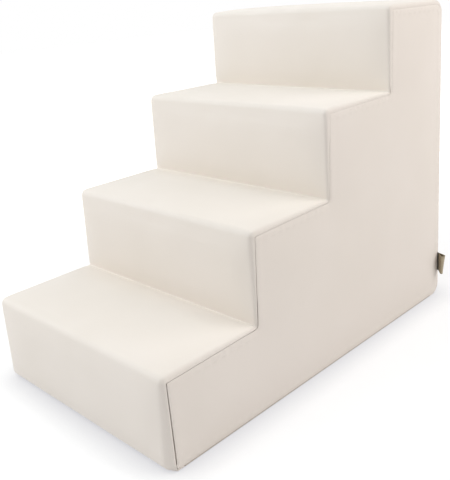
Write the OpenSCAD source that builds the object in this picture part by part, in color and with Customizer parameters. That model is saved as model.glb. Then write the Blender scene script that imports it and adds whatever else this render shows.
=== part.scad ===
// Four-step foam pet stairs in a sewn cover.
// Glued foam slabs carry a cover of rolled, crowned panels that is closed by a zip across the back.
// The origin is the centre of the base, +Z is up and the stairs climb towards +Y.

/* [Stairs] */
// Overall width across the treads
width = 406; // [320:2:560]
// Depth of one tread, from riser to riser
tread_depth = 178; // [130:1:240]
// Height of one step
step_rise = 140; // [100:1:190]

/* [Cover] */
// Thickness of the cover fabric and its backing
cover_thick = 1.5; // [1:0.1:2.4]
// Gap between the foam and the cover
foam_gap = 0.3; // [0.1:0.1:0.6]
// Radius with which the front and back panels roll over the side edges to their seam
edge_roll = 8; // [6:0.5:12]
// Radius of that roll in the inner corners, where the seam is drawn in
inner_roll = 4; // [3.5:0.5:8]
// Radius of that roll at the toe, the foot of the first riser
toe_roll = 12; // [8:0.5:18]
// How much larger the radius of a nosing, and of the toe, is than its roll
nosing_extra = 1.2; // [0.6:0.1:6]
// Radius of the cover in the inner corner between a tread and the next riser
inner_radius = 3; // [1:0.5:8]
// Radius of the two corners of the back, seen from the side
back_radius = 24; // [16:1:34]
// How far the middle of each tread and riser stands out
crown = 1.5; // [0:0.1:3]
// How much larger the roll along the bottom edges is than the cover and its gap
hem_roll_extra = 1.2; // [0.6:0.1:3]
// How far the front and back panels reach under the base
hem_turn = 12; // [6:1:24]
// How far below the top corner of the back its cross seam lies
back_seam_drop = 8; // [4:1:30]

/* [Zip] */
// Height of the middle of the zip above the floor
zip_height = 62; // [56:1:110]
// Width of the window between the two folded panel edges
zip_window = 12; // [11.4:0.2:14]
// Width of one tape, from its beaded edge
tape_width = 14; // [11:0.5:18]
// Thickness of a tape
tape_thick = 0.6; // [0.4:0.1:0.8]
// Distance from the middle of the zip to the beaded edge of a tape
tape_edge = 1.6; // [1.5:0.1:1.8]
// Distance from the end of a tape to where the side edge starts to roll
tape_end_inset = 7; // [4:1:14]
// How far an end tab overlaps its tape
tab_overlap = 6; // [4:1:10]
// Distance from one tooth to the next on the same tape
tooth_pitch = 2.8; // [2.6:0.1:3.4]
// Width of a tooth's head along the zip
tooth_head = 1.2; // [0.9:0.05:1.25]
// Width of a tooth's neck along the zip
tooth_neck = 0.8; // [0.6:0.05:0.9]
// Thickness of a tooth through the tape
tooth_thick = 2.4; // [2:0.1:2.6]
// How far a tooth's head reaches past the middle of the zip
tooth_reach = 0.9; // [0.6:0.1:1.1]
// Distance from the middle of the zip to the root of a tooth
tooth_root = 3; // [2.7:0.1:3.2]
// Length of a stop along the zip
stop_length = 4; // [2.5:0.5:6]

/* [Slider] */
// Length of the slider
slider_length = 12; // [11:0.5:15]
// Width of the slider at its mouth
slider_mouth = 8.8; // [8.6:0.1:9.4]
// Width of the slider at its shoulders
slider_shoulders = 10.6; // [10:0.1:11]
// Thickness of a wing
wing_thick = 1; // [0.8:0.1:1.2]
// Thickness of the flanges that hold the teeth in
flange_thick = 0.9; // [0.7:0.1:1]
// Running clearance of the slider and of the pull
run_gap = 0.3; // [0.2:0.05:0.35]
// Width of the bridge that holds the pull
bridge_width = 2; // [1.6:0.1:2.4]
// Length of the bridge
bridge_length = 8; // [7:0.5:9]
// Thickness of the bridge's bar and posts
bridge_thick = 0.9; // [0.7:0.1:1.2]
// Diameter of the pull's crossbar
crossbar = 1.3; // [1:0.1:1.6]
// Length of the pull from its crossbar
pull_length = 27; // [20:1:40]
// Width of the pull at its crossbar
pull_neck = 6.4; // [5.8:0.2:7.4]
// Width of the pull at its rounded end
pull_end = 8; // [7:0.2:10]
// Diameter of the grip hole in the pull
pull_hole = 3.6; // [2.5:0.1:4.5]

/* [Tag] */
// Width of the ribbon, which stands upright
tag_width = 36; // [24:1:50]
// How far the folded ribbon stands out of its seam
tag_length = 18; // [12:1:30]
// Thickness of the ribbon
tag_thick = 0.6; // [0.4:0.1:1]
// Radius of the ribbon's fold, at its outer face
tag_fold = 2.4; // [1.6:0.1:3]
// Height of the middle of the ribbon above the floor
tag_height = 65; // [50:1:120]
// Length over which the ribbon's two legs are sewn together
tag_sewn = 1.5; // [0.8:0.1:4]
// Angle by which the ribbon leans from straight out of the side towards the front
tag_lean = 18; // [0:1:30]

/* [Hidden] */
steps = 4;
// Facets of the rolled edges, corners and flat stretches
roll_steps = 3;
nosing_steps = 4;
front_steps = 3;
inner_steps = 2;
corner_steps = 4;
span_steps = 3;
flat_steps = 4;
fold_steps = 10;
// Overrun of a cut past the face that it opens
overrun = 1;
// Height of the bridge's opening above its crossbar's clearance
bridge_room = 0.35;
// Share of the slider's length that its wedge takes, and of that the taper of each end
wedge_length_share = 0.5;
wedge_taper_share = 0.4;
// Share of the slider's length at which its sides start to widen to the shoulders
waist_share = 0.45;

half_width = width / 2;
depth = steps * tread_depth;
height = steps * step_rise;
foam_inset = cover_thick + foam_gap;
bottom_roll = foam_inset + hem_roll_extra;
nosing_radius = edge_roll + nosing_extra;
toe_radius = toe_roll + nosing_extra;
half_flat = half_width - edge_roll;

// The zip's middle plane, and the outer faces of its parts, counted along Y
tape_face = depth / 2 - cover_thick;
zip_plane = tape_face - tape_thick / 2;
channel = tooth_thick + 2 * run_gap;
slider_thick = channel + 2 * wing_thick;
wing_face = zip_plane + slider_thick / 2;
foam_back_extra = tape_thick;
dent_floor = zip_plane - slider_thick / 2 - run_gap;

// The zip's stations along X, from the open end at -X to the closed end at +X
tape_end = half_flat - tape_end_inset;
tab_start = tape_end - tab_overlap;
stop_outer = tab_start - run_gap;
stop_inner = stop_outer - stop_length;
slider_front = stop_inner - run_gap;
slider_rear = slider_front - slider_length;
wedge_length = slider_length * wedge_length_share;
wedge_rear = slider_front - wedge_length;
teeth_start = -stop_inner + run_gap;
teeth_end = wedge_rear - run_gap;
slider_travel = slider_rear - run_gap + stop_inner;

// The pull turns about its crossbar, in the middle of the bridge
bridge_opening = crossbar + bridge_room;
pivot_x = slider_rear + slider_length / 2;
pivot_y = wing_face + bridge_opening / 2;
eye_reach = bridge_length / 2 + 2 * run_gap;
eye_half = bridge_width / 2 + run_gap;

cover_colour = "#e9e2d8";
foam_colour = "#f3ecd2";
base_colour = "#d8d2c8";
zip_colour = "#ddd6ca";
metal_colour = "#c9c6bf";
tag_colour = "#8f8168";

// A station is a point of the side outline, with what the cover does there:
// [y, z, outward y, outward z, share of the crown, radius of the side edge]

function arc_stations(cy, cz, radius, from, to, count, roll_from, roll_to, outward = 1) = [
    for (i = [0:count])
        let (a = from + (to - from) * i / count)
        [cy + radius * cos(a), cz + radius * sin(a), outward * cos(a), outward * sin(a),
            0, roll_from + (roll_to - roll_from) * i / count]
];

// The crowned points between the two ends of a straight stretch
function span_stations(from, to, out_y, out_z, roll_from, roll_to) = [
    for (i = [1:span_steps - 1])
        let (s = i / span_steps, point = from + (to - from) * s)
        [point[0], point[1], out_y, out_z, 4 * s * (1 - s), roll_from + (roll_to - roll_from) * s]
];

function riser_y(k) = (k - 1) * tread_depth;
function tread_z(k) = k * step_rise;
// Where the flat of a tread ends: at the next inner corner, or at the back corner on the top step
function tread_end(k) = k < steps ? riser_y(k + 1) - inner_radius : depth - back_radius;
function riser_start(k) = tread_z(k - 1) + (k > 1 ? inner_radius : toe_radius);

function riser_stations(k) =
    span_stations([riser_y(k), riser_start(k)], [riser_y(k), tread_z(k) - nosing_radius], -1, 0,
        k > 1 ? inner_roll : toe_roll, edge_roll);
function nosing_stations(k) =
    arc_stations(riser_y(k) + nosing_radius, tread_z(k) - nosing_radius, nosing_radius,
        180, 90, nosing_steps, edge_roll, edge_roll);
function tread_stations(k) =
    span_stations([riser_y(k) + nosing_radius, tread_z(k)], [tread_end(k), tread_z(k)], 0, 1,
        edge_roll, k < steps ? inner_roll : edge_roll);
function inner_stations(k) =
    arc_stations(riser_y(k + 1) - inner_radius, tread_z(k) + inner_radius, inner_radius,
        270, 360, inner_steps, inner_roll, inner_roll, -1);
function step_stations(k) = concat(riser_stations(k), nosing_stations(k), tread_stations(k));

function front_corner() =
    arc_stations(toe_radius, toe_radius, toe_radius, 270, 180, front_steps, bottom_roll, toe_roll);
function top_corner() =
    arc_stations(depth - back_radius, height - back_radius, back_radius, 90, 0, corner_steps,
        edge_roll, edge_roll);
function base_corner() =
    arc_stations(depth - back_radius, back_radius, back_radius, 0, -90, corner_steps,
        edge_roll, bottom_roll);
function back_station(z) = [depth, z, 1, 0, 0, edge_roll];
function base_station(y) = [y, 0, 0, -1, 0, bottom_roll];

back_seam_z = height - back_radius - back_seam_drop;
front_hem = toe_radius + hem_turn;
back_hem = depth - back_radius - hem_turn;

// The cover's stretches, in order from the front hem over the steps and down the back
function all_steps() = [
    for (k = [1:steps], s = concat(step_stations(k), k < steps ? inner_stations(k) : [])) s
];
function front_stretch() =
    concat([base_station(front_hem)], front_corner(), all_steps(), top_corner(),
        [back_station(back_seam_z)]);
function upper_stretch() = [back_station(back_seam_z), back_station(zip_height + zip_window / 2)];
function tab_stretch() =
    [back_station(zip_height + zip_window / 2), back_station(zip_height - zip_window / 2)];
function lower_stretch() =
    concat([back_station(zip_height - zip_window / 2)], base_corner(), [base_station(back_hem)]);
function base_stretch() = [base_station(back_hem), base_station(front_hem)];

// Stations set into the cover, with the side edge's radius smaller by as much
function sunk(stations, by) = [
    for (s = stations) [s[0] - s[2] * by, s[1] - s[3] * by, s[2], s[3], s[4], s[5] - by]
];
function forward(stations, by) = [
    for (s = stations) [s[0] - by, s[1], s[2], s[3], s[4], s[5]]
];

// Places across the width: [share of the flat half width, angle into the side roll]
function left_roll() = [for (i = [roll_steps:-1:1]) [-1, 90 * i / roll_steps]];
function right_roll() = [for (i = [1:roll_steps]) [1, 90 * i / roll_steps]];
function flat_places(from, to, count) = [for (i = [0:count]) [from + (to - from) * i / count, 0]];
full_width = concat(left_roll(), flat_places(-1, 1, flat_steps), right_roll());
tab_share = tab_start / half_flat;

// One point of the wrapped surface at a station and a place across
function wrap_point(s, place, half, inset) =
    let (sink = inset + (s[5] - inset) * (1 - cos(place[1])) - crown * s[4] * (1 - pow(place[0], 2)))
    [place[0] * (half - s[5]) + sign(place[0]) * (s[5] - inset) * sin(place[1]),
        s[0] - s[2] * sink - depth / 2, s[1] - s[3] * sink];

// The two triangles of a cell, turned outward for the outer skin and inward for the inner one
function outward_cell(a, b, c, d) = [[a, d, c], [a, c, b]];
function inward_cell(a, b, c, d) = [[a, c, d], [a, b, c]];

// A sheet of even thickness over some stations and places
module wrapped_sheet(stations, places, thick) {
    rows = len(stations);
    cols = len(places);
    skin = [for (s = stations, p = places) wrap_point(s, p, half_width, 0)];
    lining = [for (s = stations, p = places) wrap_point(s, p, half_width, thick)];
    far = rows * cols;
    last_row = (rows - 1) * cols;
    last = cols - 1;
    cells = [for (j = [0:rows - 2], i = [0:cols - 2]) j * cols + i];
    outer_faces = [for (c = cells, f = outward_cell(c, c + 1, c + cols + 1, c + cols)) f];
    inner_faces = [for (c = cells, f = inward_cell(far + c, far + c + 1, far + c + cols + 1,
        far + c + cols)) f];
    left_faces = [for (j = [0:rows - 2], f = inward_cell(j * cols, far + j * cols,
        far + (j + 1) * cols, (j + 1) * cols)) f];
    right_faces = [for (j = [0:rows - 2], f = outward_cell(j * cols + last, far + j * cols + last,
        far + (j + 1) * cols + last, (j + 1) * cols + last)) f];
    start_faces = [for (i = [0:cols - 2], f = outward_cell(i, far + i, far + i + 1, i + 1)) f];
    end_faces = [for (i = [0:cols - 2], f = inward_cell(last_row + i, far + last_row + i,
        far + last_row + i + 1, last_row + i + 1)) f];
    polyhedron(concat(skin, lining), concat(outer_faces, inner_faces, left_faces, right_faces,
        start_faces, end_faces));
}

// A full block whose outline runs once round the stations
module wrapped_block(stations, places, half) {
    rows = len(stations);
    cols = len(places);
    skin = [for (s = stations, p = places) wrap_point(s, p, half, 0)];
    wall_faces = [for (j = [0:rows - 1], i = [0:cols - 2])
        let (a = j * cols + i, d = ((j + 1) % rows) * cols + i)
        for (f = outward_cell(a, a + 1, d + 1, d)) f];
    // The end faces fan out from the last station, the low corner at the back
    apex = (rows - 1) * cols;
    left_faces = [for (j = [0:rows - 3]) [apex, (j + 1) * cols, j * cols]];
    right_faces = [for (j = [0:rows - 3])
        [apex + cols - 1, j * cols + cols - 1, (j + 1) * cols + cols - 1]];
    polyhedron(skin, concat(wall_faces, left_faces, right_faces));
}

// The cut faces of a slab, where it is glued to its neighbours: the sides stay square there
foam_roll = edge_roll - foam_inset;
function slab_front(k) = [riser_y(k) + foam_inset, tread_z(k - 1) - foam_inset, -1, 0, 0, foam_roll];
function slab_back(z) =
    [depth - foam_inset - foam_back_extra, z - foam_inset, 1, 0, 0, foam_roll];
function slab_inner_corner(k) = [
    [riser_y(k + 1) + foam_inset, tread_z(k) - foam_inset, -1, 1, 0, foam_roll],
    [riser_y(k + 1) + foam_inset, tread_z(k) - foam_inset, -1, 0, 0, foam_roll]
];
function slab_stations(k) = concat(
    k == 1 ? sunk(front_corner(), foam_inset) : [slab_front(k)],
    sunk(step_stations(k), foam_inset),
    k < steps ? concat(slab_inner_corner(k), [slab_back(tread_z(k))])
        : forward(sunk(top_corner(), foam_inset), foam_back_extra),
    k > 1 ? [slab_back(tread_z(k - 1))] : forward(sunk(base_corner(), foam_inset), foam_back_extra)
);

module foam_slab(k) {
    color(foam_colour)
        wrapped_block(slab_stations(k), full_width, half_width - foam_inset);
}

// The lowest slab gives way behind the zip's chain and slider
module foam_step_1() {
    dent_length = 2 * tape_end;
    color(foam_colour)
        difference() {
            foam_slab(1);
            translate([-dent_length / 2, dent_floor, zip_height - zip_window / 2])
                cube([dent_length, depth / 2 - dent_floor, zip_window]);
        }
}

module cover_sheet(stations, places) {
    color(cover_colour)
        wrapped_sheet(stations, places, cover_thick);
}

// The stair-shaped side panel fills the outline inside the seam
module side_panel(side) {
    loop = concat(front_stretch(), lower_stretch());
    color(cover_colour)
        translate([side * (half_width - cover_thick / 2) - cover_thick / 2, 0, 0])
            rotate([90, 0, 90])
                linear_extrude(cover_thick)
                    polygon([for (s = loop)
                        [s[0] - s[2] * s[5] - depth / 2, s[1] - s[3] * s[5]]]);
}

module bottom_panel() {
    color(base_colour)
        wrapped_sheet(base_stretch(), full_width, cover_thick);
}

// The folded ribbon: two legs that spread from the seam to a round fold
module ribbon_tag() {
    inner_fold = tag_fold - tag_thick;
    centre = tag_length - tag_fold;
    // The leaning root stays clear of the side panel
    root_x = half_width + tag_thick * sin(tag_lean);
    // The legs leave the fold at the tangent from their root
    spread = asin(tag_fold / centre) - asin(tag_thick / centre);
    function fold_arc(radius) = [
        for (i = [0:fold_steps])
            let (a = -90 - spread + (180 + 2 * spread) * i / fold_steps)
            [centre + radius * cos(a), radius * sin(a)]
    ];
    outer = concat([[0, -tag_thick]], fold_arc(tag_fold), [[0, tag_thick]]);
    inner = concat([[tag_sewn, 0]], fold_arc(inner_fold));
    color(tag_colour)
        translate([root_x, depth / 2 - edge_roll, tag_height - tag_width / 2])
            rotate([0, 0, -tag_lean])
                linear_extrude(tag_width)
                    difference() {
                        polygon(outer);
                        polygon(inner);
                    }
}

// Zip tapes lie between the folded panel edges and the foam
module zip_tape(side) {
    middle = zip_height + side * (tape_edge + tape_width / 2);
    color(zip_colour)
        translate([-tape_end, tape_face - tape_thick, middle - tape_width / 2])
            cube([2 * tape_end, tape_thick, tape_width]);
}

// A tooth grips its tape's edge with two legs and holds the facing teeth with its head
module zip_tooth() {
    head = tooth_head / 2;
    neck = tooth_neck / 2;
    shoulder = tape_edge - tooth_reach;
    difference() {
        rotate([90, 0, 0])
            linear_extrude(tooth_thick, center = true)
                polygon([
                    [-head, -tooth_reach], [head, -tooth_reach], [neck, 0], [head, shoulder],
                    [head, tooth_root], [-head, tooth_root], [-head, shoulder], [-neck, 0]
                ]);
        translate([-tooth_head, -tape_thick / 2, tape_edge])
            cube([2 * tooth_head, tape_thick, tooth_root]);
    }
}

module zip_teeth(side) {
    offset_share = side > 0 ? 0.5 : 1;
    room = teeth_end - teeth_start - tooth_head;
    count = floor(room / tooth_pitch);
    color(zip_colour)
        for (i = [0:count - 1])
            translate([teeth_start + (i + offset_share) * tooth_pitch, zip_plane, zip_height])
                mirror([0, 0, side > 0 ? 0 : 1])
                    zip_tooth();
}

// A block that clips over both faces of the tapes from z_low to z_high about the zip's middle
module tape_clip(x_from, z_low, z_high) {
    difference() {
        translate([x_from, zip_plane - tooth_thick / 2, zip_height + z_low])
            cube([stop_length, tooth_thick, z_high - z_low]);
        for (side = [-1, 1])
            translate([x_from - overrun, zip_plane - tape_thick / 2,
                zip_height + side * (tape_edge + tape_width / 2) - tape_width / 2])
                cube([stop_length + 2 * overrun, tape_thick, tape_width]);
    }
}

// Two stops at the closed end, one on each tape
module zip_end_stops() {
    color(zip_colour) {
        tape_clip(stop_inner, tape_edge - tooth_reach, tooth_root);
        tape_clip(stop_inner, -tooth_root, tooth_reach - tape_edge);
    }
}

// The box at the open end joins both tapes
module zip_box_stop() {
    color(zip_colour)
        tape_clip(-stop_outer, -tooth_root, tooth_root);
}

// Plan of the slider: narrow at the mouth and wide at the shoulders, drawn in by some amount
module slider_plan(draw_in, past_ends) {
    mouth = slider_mouth / 2 - draw_in;
    shoulders = slider_shoulders / 2 - draw_in;
    waist = slider_rear + slider_length * waist_share;
    polygon([
        [slider_rear - past_ends, -mouth], [waist, -mouth], [slider_front + past_ends, -shoulders],
        [slider_front + past_ends, shoulders], [waist, mouth], [slider_rear - past_ends, mouth]
    ]);
}

// Stands a plan drawn in X and Z up on the back, from y_from outward
module on_back(y_from, thick) {
    translate([0, y_from + thick, zip_height])
        rotate([90, 0, 0])
            linear_extrude(thick)
                children();
}

// The wedge between the wings parts the two rows of teeth
module slider_wedge() {
    half = tape_edge - run_gap;
    taper = wedge_length * wedge_taper_share;
    on_back(zip_plane - slider_thick / 2, slider_thick)
        polygon([
            [wedge_rear, 0], [wedge_rear + taper, -half], [slider_front - taper, -half],
            [slider_front, 0], [slider_front - taper, half], [wedge_rear + taper, half]
        ]);
}

// The bridge is an arch over the outer wing, open from side to side for the pull's crossbar
module slider_bridge() {
    rise = bridge_opening + bridge_thick;
    round = bridge_thick;
    translate([pivot_x, wing_face, zip_height - bridge_width / 2])
        linear_extrude(bridge_width)
            difference() {
                union() {
                    translate([-bridge_length / 2, 0])
                        square([bridge_length, rise - round]);
                    translate([round - bridge_length / 2, 0])
                        square([bridge_length - 2 * round, rise]);
                    for (end = [-1, 1])
                        translate([end * (bridge_length / 2 - round), rise - round])
                            circle(round, $fn = 32);
                }
                translate([bridge_thick - bridge_length / 2, 0])
                    square([bridge_length - 2 * bridge_thick, bridge_opening]);
            }
}

module zip_slider() {
    color(metal_colour)
        union() {
            difference() {
                on_back(zip_plane - slider_thick / 2, slider_thick)
                    slider_plan(0, 0);
                on_back(zip_plane - channel / 2, channel)
                    slider_plan(flange_thick, overrun);
                on_back(zip_plane - tape_thick / 2 - run_gap, tape_thick + 2 * run_gap)
                    slider_plan(-overrun, overrun);
            }
            slider_wedge();
            slider_bridge();
        }
}

// The pull: a plate with an eye round the bridge, a round crossbar and a grip hole
module zip_pull() {
    end_radius = pull_end / 2;
    color(metal_colour)
        translate([pivot_x, pivot_y, zip_height])
            union() {
                cylinder(h = pull_neck, d = crossbar, center = true, $fn = 32);
                rotate([90, 0, 0])
                    linear_extrude(crossbar, center = true)
                        difference() {
                            union() {
                                polygon([
                                    [0, -pull_neck / 2], [0, pull_neck / 2],
                                    [end_radius - pull_length, end_radius],
                                    [end_radius - pull_length, -end_radius]
                                ]);
                                translate([end_radius - pull_length, 0])
                                    circle(end_radius, $fn = 48);
                            }
                            translate([-eye_reach, -eye_half])
                                square([eye_reach + overrun, 2 * eye_half]);
                            translate([end_radius - pull_length, 0])
                                circle(d = pull_hole, $fn = 32);
                        }
            }
}

foam_step_1();
foam_slab(2);  // foam_step_2
foam_slab(3);  // foam_step_3
foam_slab(4);  // foam_step_4
cover_sheet(front_stretch(), full_width);  // riser_tread_panel
side_panel(-1);  // side_panel_left
side_panel(1);  // side_panel_right
cover_sheet(upper_stretch(), full_width);  // back_panel_upper
cover_sheet(lower_stretch(), full_width);  // back_panel_lower
bottom_panel();
ribbon_tag();
cover_sheet(tab_stretch(), concat(left_roll(), flat_places(-1, -tab_share, 1)));  // zip_tab_left
cover_sheet(tab_stretch(), concat(flat_places(tab_share, 1, 1), right_roll()));  // zip_tab_right
zip_tape(1);  // zip_tape_upper
zip_tape(-1);  // zip_tape_lower
zip_teeth(1);  // zip_teeth_upper
zip_teeth(-1);  // zip_teeth_lower
zip_end_stops();
zip_box_stop();
zip_slider();
zip_pull();
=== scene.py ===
import math
import bpy
import numpy as np
from mathutils import Matrix, Vector
from mathutils.geometry import delaunay_2d_cdt


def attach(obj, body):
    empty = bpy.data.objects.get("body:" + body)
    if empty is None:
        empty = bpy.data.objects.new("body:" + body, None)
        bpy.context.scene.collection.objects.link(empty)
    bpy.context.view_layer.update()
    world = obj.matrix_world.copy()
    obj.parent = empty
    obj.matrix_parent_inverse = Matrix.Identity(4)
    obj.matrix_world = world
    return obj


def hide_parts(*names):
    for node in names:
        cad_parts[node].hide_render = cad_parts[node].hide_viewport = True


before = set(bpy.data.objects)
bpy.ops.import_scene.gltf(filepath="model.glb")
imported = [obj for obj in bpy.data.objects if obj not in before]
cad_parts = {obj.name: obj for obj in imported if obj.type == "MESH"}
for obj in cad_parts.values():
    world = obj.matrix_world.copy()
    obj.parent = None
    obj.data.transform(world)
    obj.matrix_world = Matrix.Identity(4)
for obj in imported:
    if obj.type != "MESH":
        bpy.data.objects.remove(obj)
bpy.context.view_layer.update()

# Sizes of the stairs in metres, as in the construction model, but with half its inner radius
WIDTH = 0.406
TREAD = 0.178
RISE = 0.140
STEPS = 4
EDGE_ROLL = 0.008
INNER_ROLL = 0.004
TOE_ROLL = 0.012
NOSING_RADIUS = 0.0092
TOE_RADIUS = 0.0132
INNER_RADIUS = 0.0015
BACK_RADIUS = 0.024
BOTTOM_ROLL = 0.003
HEM_TURN = 0.012
BACK_SEAM_DROP = 0.008
ZIP_HEIGHT = 0.062
ZIP_WINDOW = 0.012
TAB_START = 0.182
COVER_THICK = 0.0015
HALF = WIDTH / 2
DEPTH = STEPS * TREAD
HEIGHT = STEPS * RISE
HALF_FLAT = HALF - EDGE_ROLL

# The sewn cover: crown of a panel, radii of the lips at a seam, and depth of the seams
CROWN = 0.0015
LIP = 0.0018
SIDE_LIP = 0.0009
SEAM_DEPTH = 0.0038
SEAM_GAP = 0.0012
CROSS_LIP = 0.0011
CROSS_SEAM_DEPTH = 0.0016
SKIN_THICK = 0.0008
TINY = 0.001

# Fineness of the visible panels and of their simulated twins
CELL = 0.003
CELL_ACROSS = 0.006
ARC_STEP = 10
ROLL_STEP = 15
TWIN_CELL = 0.010
TWIN_ARC_STEP = 30
LIP_ANGLES = [math.radians(a) for a in (30, 60, 90)]

# How open the side seams stand, as a share: at the lowest riser, the lowest tread, the base and
# the top, how high the top starts, and how softly they blend. Then how flat the fabric is drawn
# over a side edge where its seam is open, and how square the edge stands where it is closed.
LOOSE_RISER = 1.0
LOOSE_TREAD = 0.38
LOOSE_BASE = 0.12
LOOSE_TOP = 0.06
LOOSE_REACH = 0.72
LOOSE_BLEND = 0.006
TAUT = 0.6
SQUARE = 0.42


# Outline of the stairs, seen from the side. A station has its place y and z, its outward direction
# y and z, its share of the crown, the roll of the side edge, its depth in a seam, and whether the
# swelling is held back there.

CROWNED, ROLLED, SUNK, PINNED = 4, 5, 6, 7


def arc(centre_y, centre_z, radius, turn, rolls, step, outward=1):
    """Stations along an arc, from angle to angle in degrees."""
    count = max(2, math.ceil(abs(turn[1] - turn[0]) / step))
    rows = []
    for share in np.linspace(0, 1, count + 1):
        angle = math.radians(turn[0] + (turn[1] - turn[0]) * share)
        out_y, out_z = math.cos(angle), math.sin(angle)
        rows.append([
            centre_y + radius * out_y, centre_z + radius * out_z, outward * out_y, outward * out_z,
            0, rolls[0] + (rolls[1] - rolls[0]) * share, 0, outward < 0,
        ])
    return rows


def toe_arc(step):
    """The lowest front edge, whose side seam runs straight down to the base."""
    rows = arc(TOE_RADIUS, TOE_RADIUS, TOE_RADIUS, (270, 180), (0, 0), step)
    for row in rows:
        forward = max(-row[2], TINY)
        row[ROLLED] = max(BOTTOM_ROLL, TOE_RADIUS - (TOE_RADIUS - TOE_ROLL) / forward)
    return rows


def joined(parts, cell, crowned):
    """The parts in order, with even stations on the straight stretches between them."""
    rows = list(parts[0])
    for part in parts[1:]:
        first, last = np.array(rows[-1], float), np.array(part[0], float)
        count = max(2, round(math.dist(first[:2], last[:2]) / cell))
        for share in np.linspace(0, 1, count + 1)[1:-1]:
            row = first + (last - first) * share
            row[CROWNED] = crowned * 4 * share * (1 - share)
            row[PINNED] = 0
            rows.append(list(row))
        rows += part
    return rows


def back_station(z):
    return [[DEPTH, z, 1, 0, 0, EDGE_ROLL, 0, 0]]


def base_station(y):
    return [[y, 0, 0, -1, 0, BOTTOM_ROLL, 0, 0]]


def stretches(cell, step):
    """The cover's stretches in order: front and steps, upper back, zip window, lower back, base."""
    even = (EDGE_ROLL, EDGE_ROLL)
    front = TOE_RADIUS + HEM_TURN
    back = DEPTH - BACK_RADIUS - HEM_TURN
    seam = HEIGHT - BACK_RADIUS - BACK_SEAM_DROP
    low, high = ZIP_HEIGHT - ZIP_WINDOW / 2, ZIP_HEIGHT + ZIP_WINDOW / 2
    climb = [toe_arc(step)]
    inner = (INNER_ROLL, INNER_ROLL)
    for k in range(STEPS):
        climb.append(arc(k * TREAD + NOSING_RADIUS, (k + 1) * RISE - NOSING_RADIUS, NOSING_RADIUS,
                         (180, 90), even, step))
        if k < STEPS - 1:
            climb.append(arc((k + 1) * TREAD - INNER_RADIUS, (k + 1) * RISE + INNER_RADIUS,
                             INNER_RADIUS, (270, 360), inner, step, -1))
    climb.append(arc(DEPTH - BACK_RADIUS, HEIGHT - BACK_RADIUS, BACK_RADIUS, (90, 0), even, step))
    heel = arc(DEPTH - BACK_RADIUS, BACK_RADIUS, BACK_RADIUS, (0, -90),
               (EDGE_ROLL, BOTTOM_ROLL), step)
    made = {
        "front": joined([base_station(front), joined(climb, cell, 1), back_station(seam)], cell, 0),
        "upper": joined([back_station(seam), back_station(high)], cell, 1),
        "window": joined([back_station(high), back_station(low)], cell, 0),
        "lower": joined([back_station(low), heel, base_station(back)], cell, 0),
        "base": joined([base_station(back), base_station(front)], CELL_ACROSS, 0),
    }
    return {name: np.array(rows, float) for name, rows in made.items()}


def cross_lip(edge, inner):
    """Stations that turn a panel's end down into its cross seam."""
    along = edge[:2] - inner[:2]
    along = along / np.linalg.norm(along)
    made = []
    for angle in (0, *LIP_ANGLES):
        row = edge.copy()
        row[:2] = edge[:2] - along * CROSS_LIP * (1 - math.sin(angle))
        row[SUNK] = CROSS_LIP * (1 - math.cos(angle))
        made.append(row)
    deep = edge.copy()
    deep[SUNK] = CROSS_SEAM_DEPTH
    return made + [deep]


def with_lips(rows):
    """The same stations, with both cut edges turned down into their seams."""
    start, end = cross_lip(rows[0], rows[1])[::-1], cross_lip(rows[-1], rows[-2])
    return np.vstack([start, rows[1:-1], end])


# Places across the width: share of the flat half width, angle into the side roll, extra depth, draw

def flat_places(start, stop, cell):
    count = max(2, round(abs(stop - start) * HALF_FLAT / cell))
    return [[share, 0, 0, 0] for share in np.linspace(start, stop, count + 1)]


def roll_places(side, step, lips=True):
    """From the end of the flat over the side edge, and down into the side seam."""
    angles = np.arange(step, 90 + step / 2, step)
    rows = [[side, math.radians(a), 0, 0] for a in angles]
    if lips:
        for angle in LIP_ANGLES:
            rows.append([side, math.pi / 2, LIP * math.sin(angle), LIP * (1 - math.cos(angle))])
        rows.append([side, math.pi / 2, LIP, SEAM_DEPTH])
    return rows


def end_fold(side, share):
    """A folded edge across the panel, at a share of the flat width."""
    return [[share + side * (CROSS_LIP * math.sin(angle) / HALF_FLAT), 0,
             CROSS_LIP * (1 - math.cos(angle)), 0] for angle in LIP_ANGLES]


def path_length(points):
    """How far along the path each point lies from the first."""
    return np.concatenate([[0], np.cumsum(np.hypot(*np.diff(points, axis=0).T))])


def looseness(rows):
    """How far the side seam opens: most at the low risers, least at the top."""
    height = np.clip(rows[:, 1] / (LOOSE_REACH * HEIGHT), 0, 1)
    toe = (rows[:, 0] < TOE_RADIUS) & (rows[:, 1] < TOE_RADIUS)
    riser = np.maximum(np.clip(-rows[:, 2], 0, 1), toe)
    low = LOOSE_TREAD + riser * (LOOSE_RISER - LOOSE_TREAD)
    opening = low + (LOOSE_TOP - low) * height
    opening += (LOOSE_BASE - opening) * np.clip(-rows[:, 3], 0, 1) * ~toe
    run = path_length(rows[:, :2])
    near = np.exp(-((run[:, None] - run[None, :]) / LOOSE_BLEND) ** 2)
    return near @ opening / near.sum(1)


def full_width(cell=CELL_ACROSS, step=ROLL_STEP, lips=True):
    return np.array(roll_places(-1, step, lips)[::-1] + flat_places(-1, 1, cell)
                    + roll_places(1, step, lips))


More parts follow.
